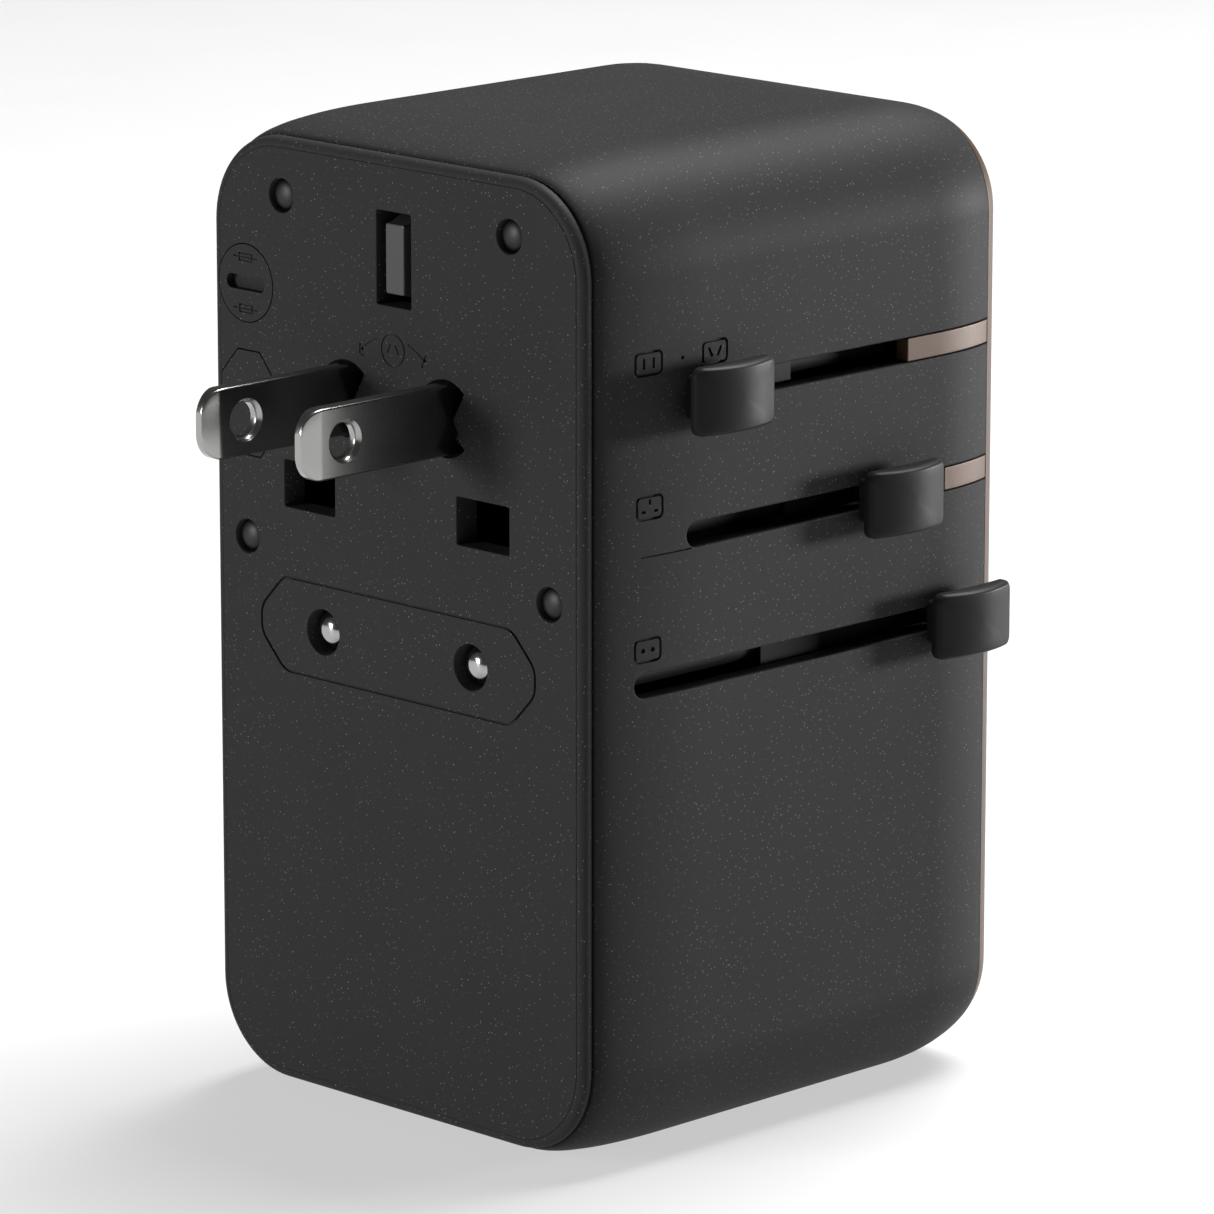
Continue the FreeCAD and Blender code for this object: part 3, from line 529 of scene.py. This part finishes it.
# ---------------------------------------------------------------- case screws
# Four blackened steel screws with domed heads, sunk in the cap's dimples.
def polished(tone, rough, smear, lines_scale=(900.0, 30.0, 900.0)):
    """Metal with drawn lines: noise stretched along one axis in colour, roughness and bump."""
    def make(start, place):
        stretched = start.node("ShaderNodeMapping", {}, {"Vector": place, "Scale": lines_scale})
        drawn = start.noise(stretched, 1.0, 3.0, 0.6)
        film = start.noise(place, 260.0, 4.0, 0.6)
        cloud = 0.5 * drawn + 0.5 * film
        colour = cloud.blend([c * 0.93 for c in tone], [min(1, c * 1.05) for c in tone])
        relief = start.node("ShaderNodeBump", {}, {
            "Strength": 0.02, "Distance": 0.00001, "Height": drawn})
        return start.node("ShaderNodeBsdfPrincipled", {}, {
            "Base Color": colour, "Metallic": 1.0, "Roughness": rough + smear * film + 0.03 * drawn,
            "Normal": relief})
    return make


def turned(profile, centre, around=48):
    """A profile of (radius, depth) carried round an axis along the pins:
    x = centre + radius * cos t, z = centre + radius * sin t, y = depth."""
    t = np.linspace(0, 2 * np.pi, around, endpoint=False)
    radius, depth = (np.array(v, float)[:, None] for v in zip(*profile))
    return np.stack([centre[0] + radius * np.cos(t), depth + 0 * t, centre[1] + radius * np.sin(t)], -1)


black_steel = finish("blackened_steel", polished((0.034, 0.033, 0.034), 0.44, 0.08))
t = np.linspace(0.03, np.pi / 2, 12)
HEAD_R = 1.44
dome = [(HEAD_R * math.sin(a), 0.10 + 0.7 * (1 - math.cos(a))) for a in t]
shank = [(HEAD_R, 1.15), (HEAD_R, 1.48), (1.1, 1.5), (1.1, 12.6), (0.6, 13.0)]
heads = [solid("screw_heads", turned(dome + shank, spot)) for spot in SCREWS]
dress(joined(heads), black_steel, "shell", ["case_screws"])

# ---------------------------------------------------------------- slider knobs
# Three thumb knobs in smooth black nylon, without flecks. Each is a crowned pad on a foot that
# spreads over its slot, with a neck through it.
def nylon(tone, rough, shine=0.4):
    """Smooth moulded plastic: a faint flow mottle and very fine grain."""
    def make(start, place):
        flow = start.noise(place, 160.0, 4.0)
        grain = start.noise(place, 9000.0, 2.0)
        colour = flow.blend([c * 0.9 for c in tone], [c * 1.12 for c in tone])
        relief = start.node("ShaderNodeBump", {}, {
            "Strength": 0.08, "Distance": 0.00005, "Height": grain})
        return start.node("ShaderNodeBsdfPrincipled", {}, {
            "Base Color": colour, "Roughness": rough + 0.06 * flow + 0.05 * grain,
            "Specular IOR Level": shine, "Normal": relief})
    return make


knob_finish = finish("knob_nylon", nylon((0.0140, 0.0140, 0.0142), 0.36, 0.07))
PAD_L, PAD_IN, PAD_END, CROWN, PAD_R, CORNER_R = 4.9, 26.8, 27.9, 1.2, 0.42, 0.9
for node, (_, z0, z1) in SLOTS.items():
    low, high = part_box(node)
    y, z = (low.y - FACE_Y) / MM + PAD_L, ((low.z + high.z) / 2 - PIN_Z) / MM
    pad_h = (high.z - low.z) / MM / 2
    t = np.linspace(0, np.pi / 2, 7)
    shrink = np.array([0.3, 0.6, 0.85, 0.995])
    half_y = np.concatenate([[1.2, 1.2, 3.7, 3.7, PAD_L - 0.35, PAD_L], PAD_L - PAD_R * (1 - np.cos(t)),
                             (PAD_L - PAD_R) * (1 - shrink) + 0.02])
    half_z = np.concatenate([[0.9, 0.9, 2.0, 2.0, pad_h - 0.35, pad_h], pad_h - PAD_R * (1 - np.cos(t)),
                             (pad_h - PAD_R) * (1 - shrink) + 0.02])
    edge = np.concatenate([[0.1, 0.1, 0.5, 0.5, 0.7, CORNER_R],
                           CORNER_R - PAD_R * 0.9 * (1 - np.cos(t)),
                           (CORNER_R - PAD_R * 0.9) * (1 - shrink) + 0.01])
    level = np.concatenate([[22.52, 25.4, 25.4, PAD_IN, PAD_IN, PAD_IN + 0.3],
                            PAD_END - PAD_R * (1 - np.sin(t)), PAD_END + 0 * shrink])
    lift = np.concatenate([[0, 0, 0, 0, 0, 0.3], 0.5 + 0.5 * np.sin(t), 1 + 0 * shrink])
    flat = sections(half_y, half_z, edge, (0, 0), 8, 10)
    crown = CROWN * (1 - (flat[..., 0] / PAD_L) ** 2)
    x = level[:, None] + lift[:, None] * crown
    pad = solid("thumb_" + node, np.stack([x, flat[..., 0] + y, flat[..., 1] + z], -1))
    tail_end = (high.y - FACE_Y) / MM
    if tail_end > y + PAD_L + 1:        # the top knob has a strip behind its neck, seen in the slot
        reach = np.array([y, tail_end - 0.15, tail_end])
        flat = sections([0.45, 0.45, 0.3], [1.0, 1.0, 0.85], [0.1, 0.1, 0.1], (22.98, (z0 + z1) / 2), 4)
        depth = np.broadcast_to(reach[:, None], flat.shape[:2])
        joined([pad, solid("tail", np.stack([flat[..., 0], depth, flat[..., 1]], -1))])
    dress(pad, knob_finish, node.replace("knob", "slider"), [node], sharp=40)

# ---------------------------------------------------------------- flat blades
# Two nickel-plated brass blades with rounded corners, chamfered cheeks and a punched hole with
# a spun edge. Each is swaged to a disc that turns behind the cap on a pivot in the slider.
blade_finish = finish("bright_nickel", polished((0.37, 0.37, 0.36), 0.19, 0.04))
low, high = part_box("us_blade_right")
TIP, BLADE_T, BLADE_W, TIP_R, HOLE_Y = (low.y - FACE_Y) / MM, 1.5, 6.35, 2.3, -12.6
BEVEL_RUN, BEVEL_IN = 1.9, 0.38
for side, s in (("left", -1), ("right", 1)):
    run = np.concatenate([TIP_R * (1 - np.cos(np.linspace(0.12, 1.4, 14))), np.linspace(2.25, 21, 26)])
    reach = np.clip((TIP_R - run) / TIP_R, 0, 1)
    half_z = BLADE_W / 2 - TIP_R * (1 - np.sqrt(1 - reach ** 2))
    ease_in = np.clip(run / BEVEL_RUN, 0, 1)
    half_x = BLADE_T / 2 - BEVEL_IN * (1 - ease_in)
    flat = sections(half_x, half_z, 0.22 + 0 * run, (s * US_X, US_Z), 5, 4)
    y = TIP + run - run[0]
    blade = solid("blade_" + side, np.stack([flat[..., 0], np.broadcast_to(y[:, None], flat.shape[:2]),
                                             flat[..., 1]], -1))
    rings = [(1.95, -1.2), (1.95, -0.75), (1.80, -0.60), (1.58, -0.38), (1.55, -0.2), (1.55, 0.2),
             (1.58, 0.38), (1.80, 0.60), (1.95, 0.75), (1.95, 1.2)]
    t = np.linspace(0, 2 * np.pi, 56, endpoint=False)
    radius, across = (np.array(v)[:, None] for v in zip(*rings))
    hole = np.stack([s * US_X + across + 0 * t, HOLE_Y + radius * np.cos(t),
                     US_Z + radius * np.sin(t)], -1)
    carve(blade, [solid("blade_hole_tool", hole)])
    root = solid("root", turned([(3.4, 3.45), (3.58, 3.6), (3.58, 4.7), (3.4, 4.84), (1.6, 4.84),
                                 (1.6, 10.4), (1.3, 10.6)], (s * US_X, US_Z)))
    dress(joined([blade, root]), blade_finish, "us_" + side, ["us_blade_" + side], sharp=38)

# ---------------------------------------------------------------- round and square pins
# Chromed round pins with part-round ends wait inside the cap, and square pins behind their slots.
# The square earth pin is plain grey nylon with chamfered edges.
chrome = finish("chrome_pin", polished((0.40, 0.40, 0.40), 0.11, 0.05))
for node, s in (("eu_pin_left", -1), ("eu_pin_right", 1)):
    t = np.linspace(0.02, np.pi / 2, 16)
    front = (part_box(node)[0].y - FACE_Y) / MM
    tip = [(0.25 + 1.74 * math.sin(a), front + 1.74 * (1 - math.cos(a))) for a in t]
    sleeved = [(1.99, front + 8.9), (1.5, front + 9.0), (1.5, 30.3)]
    pin = solid(node + "_turned", turned([(0.02, front)] + tip + sleeved, (s * EU_X, 0)))
    dress(pin, chrome, "eu_slider", [node], sharp=50)
repaint(chrome, "uk_pin_live", "uk_pin_neutral")
grey_nylon = finish("grey_nylon", nylon((0.030, 0.029, 0.030), 0.42))
inch = np.array([0.90, 0.82, 0.74, 0.0, 0.0])
depth = np.array([0.15, 0.20, 0.9, 3.2, 32.3])
flat = sections(1.97 - inch, 3.95 - inch, 0.25 + 0 * inch, (0, EARTH_Z), 5)
earth = solid("earth_pin", np.stack([flat[..., 0], np.broadcast_to(depth[:, None], flat.shape[:2]),
                                     flat[..., 1]], -1))
dress(earth, grey_nylon, "uk_slider", ["uk_pin_earth"], sharp=25)

# ---------------------------------------------------------------- copper rear cover
# The back shell and the two tongues that close the upper slots, painted a satin copper brown.
def copper_paint(start, place):
    """Metallic paint: tiny flakes tilt the colour and the normal, under a thin satin clear coat."""
    flakes = start.node("ShaderNodeTexVoronoi", {}, {"Vector": place, "Scale": 9000.0}, give=1)
    tilt = start.node("ShaderNodeSeparateColor", {}, {"Color": flakes})
    cloud = start.noise(place, 120.0, 3.0)
    tone = (0.6 * tilt + 0.4 * cloud).blend((0.046, 0.027, 0.017), (0.070, 0.043, 0.028))
    relief = start.node("ShaderNodeBump", {}, {"Strength": 0.12, "Distance": 0.00003, "Height": tilt})
    return start.node("ShaderNodeBsdfPrincipled", {}, {
        "Base Color": tone, "Metallic": 0.3, "Specular IOR Level": 0.2,
        "Roughness": 0.40 + 0.08 * cloud, "Coat Weight": 0.05, "Coat Roughness": 0.3,
        "Normal": relief})


copper = finish("copper_paint", copper_paint)
bend = np.linspace(math.asin((SEAM + 0.12 - DEPTH + BACK_RUN) / BACK_RUN), np.pi / 2, 14)
shell_y = np.concatenate([[DEPTH - 1.9, SEAM + 0.5, SEAM + 0.02, SEAM + 0.02],
                          DEPTH - BACK_RUN + BACK_RUN * np.sin(bend), [DEPTH]])
shell_in = np.concatenate([[BACK_IN + 1.3, curve_in(SEAM) + 1.6, curve_in(SEAM) + 1.6,
                            curve_in(SEAM) + 0.14],
                           BACK_IN * (1 - np.cos(bend)), [BACK_IN + 0.3]])
cover = solid("copper_cover", body_rings(shell_y, shell_in))


def on_rear(flat, up):
    up = np.broadcast_to(np.asarray(up, float)[:, None], flat.shape[:2])
    return np.stack([flat[..., 0], DEPTH + up, flat[..., 1]], -1)


off, rise = mouth(0.35, 5.0)
SOCKET = (18.5, 18.75, 6.0, (0, 22.25))
lamp_hole = np.array([1.62, 1.62])
carve(cover, [solid("socket_tool", on_rear(sections(SOCKET[0] + off, SOCKET[1] + off, SOCKET[2] + off,
                                                    SOCKET[3], 12), rise)),
              solid("lens_tool", on_rear(sections(lamp_hole, lamp_hole, lamp_hole, (0, -18), 8),
                                         [-5, 1]))])
parts = [cover]
for node, start_y in (("us_knob", 39.6), ("uk_knob", 44.7)):
    _, z0, z1 = SLOTS[node]
    y = np.concatenate([[start_y, start_y, start_y + 0.08], np.linspace(start_y + 1, SEAM + 0.6, 16)])
    thick = np.concatenate([[0.30, 0.66, 0.72], np.full(16, 0.72)])
    tall = np.concatenate([[0.7, 0.98, 1.06], np.full(16, 1.06)])
    flat = sections(thick, tall, 0.1 + 0 * y, (0, (z0 + z1) / 2), 4)
    x = HALF_W - 0.05 - 0.72 - curve_in(y)[:, None] + flat[..., 0]
    parts.append(solid("tongue", np.stack([x, np.broadcast_to(y[:, None], x.shape), flat[..., 1]], -1)))
dress(joined(parts), copper, "shell", ["rear_cover"])

# ---------------------------------------------------------------- rear socket
# A glossy black insert takes most plugs. Its openings have eased edges, and a grey shutter closes
# the two line openings until a plug pushes it down.
def gloss(tone, rough):
    """Polished moulding under a clear skin: soft flow marks and a few fine handling smears."""
    def make(start, place):
        flow = start.noise(place, 70.0, 3.0)
        smear = start.noise(place, 420.0, 5.0, 0.7).ease(0.45, 0.7)
        colour = flow.blend([c * 0.85 for c in tone], [c * 1.15 for c in tone])
        relief = start.node("ShaderNodeBump", {}, {
            "Strength": 0.04, "Distance": 0.0001, "Height": flow})
        return start.node("ShaderNodeBsdfPrincipled", {}, {
            "Base Color": colour, "Roughness": rough + 0.10 * smear, "Coat Weight": 0.15,
            "Coat Roughness": 0.12, "Specular IOR Level": 0.25, "Normal": relief})
    return make


gloss_black = finish("gloss_black", gloss((0.009, 0.009, 0.010), 0.2))
t = np.linspace(0, np.pi / 2, 7)
inch = np.concatenate([[0, 0], 0.5 * (1 - np.cos(t)), [1.6, 1.75, 1.9]])
rise = np.concatenate([[-4.0, -1.0], -0.3 - 0.5 * (1 - np.sin(t)), [-0.3, -0.42, -0.42]])
insert = solid("socket_plate", on_rear(sections(18.44 - inch, 18.69 - inch, 5.94 - inch, SOCKET[3], 12),
                                       rise))
off, rise = mouth(0.3, 5.0)
rise = rise - 0.42
tools = []
for x, z, a, b, r in ((0, EARTH_Z, 2.35, 4.4, 0.3), (0, 24.9, 2.6, 2.6, 2.6),
                      (UK_X, UK_Z, 3.45, 2.3, 0.3), (-UK_X, UK_Z, 3.45, 2.3, 0.3)):
    flat = sections(a + off, b + off, r + off, (x, z), 10)
    tools.append([solid("opening_tool", on_rear(flat, rise))])
for s in (-1, 1):
    for x, z, a, b, r, lean in ((EU_X, UK_Z, 2.45, 2.45, 2.45, 0), (US_X, UK_Z, 1.0, 3.7, 0.3, 0),
                                (6.9, UK_Z + 0.1, 1.0, 3.5, 0.3, 30)):
        flat = sections(a + off, b + off, r + off, (0, 0), 10)
        c, d = math.cos(math.radians(-s * lean)), math.sin(math.radians(-s * lean))
        flat = flat @ np.array([[c, -d], [d, c]]) + (s * x, z)
        tools.append([solid("opening_tool", on_rear(flat, rise))])
for tool in tools:
    carve(insert, tool)
dress(insert, gloss_black, "shell", ["socket_insert"])
repaint(grey_nylon, "safety_shutter")

# ---------------------------------------------------------------- charging ports
# A glossy panel set flush in the base holds one large and two small charging sockets.
off, rise = mouth(0.2, 6.0)
t = np.linspace(0, np.pi / 2, 5)
inch = np.concatenate([[-1.2, -1.2, 0.04], 0.04 + 0.2 * (1 - np.cos(t))])
level = np.concatenate([[-2.92, -1.72, -1.72], -0.02 - 0.2 * (1 - np.sin(t))])
flat = sections(PORT_A - inch, PORT_B - inch, PORT_R - inch * 0.8, PORT_AT, 8)
panel = solid("port_panel", on_base(flat, level))
tools = [solid("large_port", on_base(sections(6.6 + off, 2.9 + off, 0.15 + off, (0, 32.5), 8), rise))]
for s in (-1, 1):
    flat = sections(4.5 + off, 1.65 + off, 1.6 + off, (s * 6.2, 22), 10)
    tools.append(solid("small_port", on_base(flat, rise)))
carve(panel, tools)
dress(panel, gloss_black, "shell", ["port_frame"])

# ---------------------------------------------------------------- shutter return spring
# A steel compression spring stands in the chassis under the shutter, built here at its full length.
WIRE_R, COIL_R, PITCH = 0.25, 1.7, 2.0
low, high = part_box("shutter_spring")
seat, climb = (low.z - PIN_Z) / MM + WIRE_R, (high.z - low.z) / MM - 2 * WIRE_R
turn = np.linspace(0, 2 * np.pi * climb / PITCH, 150)[:, None]
round_wire = np.linspace(0, 2 * np.pi, 10, endpoint=False)
reach = COIL_R + WIRE_R * np.cos(round_wire)
coil = np.stack([reach * np.cos(turn), ((low.y + high.y) / 2 - FACE_Y) / MM + reach * np.sin(turn),
                 seat + climb * turn / turn[-1] + WIRE_R * np.sin(round_wire)], -1)
spring = dress(solid("return_spring", coil), chrome, "shell", ["shutter_spring"])
travel = next(joint["range_m"][1] for joint in frame["record"]["behaviour"]["joints"]
              if joint["name"] == "shutter_slide")
1 - travel / (high.z - low.z)
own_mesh(spring)

# ---------------------------------------------------------------- works inside
# Everything behind the case: sliders' carriages, guides, contacts, fuses and the charger circuit.
dark_nylon_and_rod_shade = finish("dark_nylon_and_rod_shade", nylon((0.003, 0.003, 0.0033), 0.62, 0.1))
repaint(dark_nylon_and_rod_shade, "socket_chassis", "guide_frame", "us_carriage", "uk_carriage", "eu_carriage",
        "spare_fuse_tube", "uk_pin_sleeves", "eu_pin_sleeves", "usb_c_tongues", "power_chips")
repaint(grey_nylon, "usb_a_tongue")
# Painted shade: the steel guide rods take the near-black nylon, so that through the slots they read as
# the slots' shade.
repaint(dark_nylon_and_rod_shade, "guide_rods")
repaint(black_steel, "detent_springs", "us_clip_left", "us_clip_right")
repaint(chrome, "spare_fuse_ends", "main_fuse_ends", "usb_a_socket", "usb_c_sockets")
brass = finish("pressed_brass", polished((0.66, 0.46, 0.20), 0.22, 0.15))
repaint(brass, "contact_live", "contact_neutral", "contact_earth", "supply_straps", "fuse_clips")
repaint(finish("fuse_ceramic", gloss((0.80, 0.79, 0.75), 0.25)), "main_fuse", "spare_fuse")
repaint(finish("frosted_lens", gloss((0.75, 0.80, 0.90), 0.35)), "status_lens")
repaint(finish("solder_mask", gloss((0.02, 0.11, 0.05), 0.3)), "port_board", "charger_board")
repaint(finish("ferrite", nylon((0.035, 0.035, 0.037), 0.65)), "transformer_core", "choke")
repaint(finish("copper_wire", polished((0.62, 0.28, 0.12), 0.25, 0.1, (60.0, 60.0, 5200.0))),
        "transformer_winding")
repaint(finish("capacitor_sleeve", gloss((0.02, 0.03, 0.07), 0.3)), "bulk_capacitors")
repaint(finish("film_yellow", gloss((0.62, 0.42, 0.06), 0.3)), "film_capacitor")
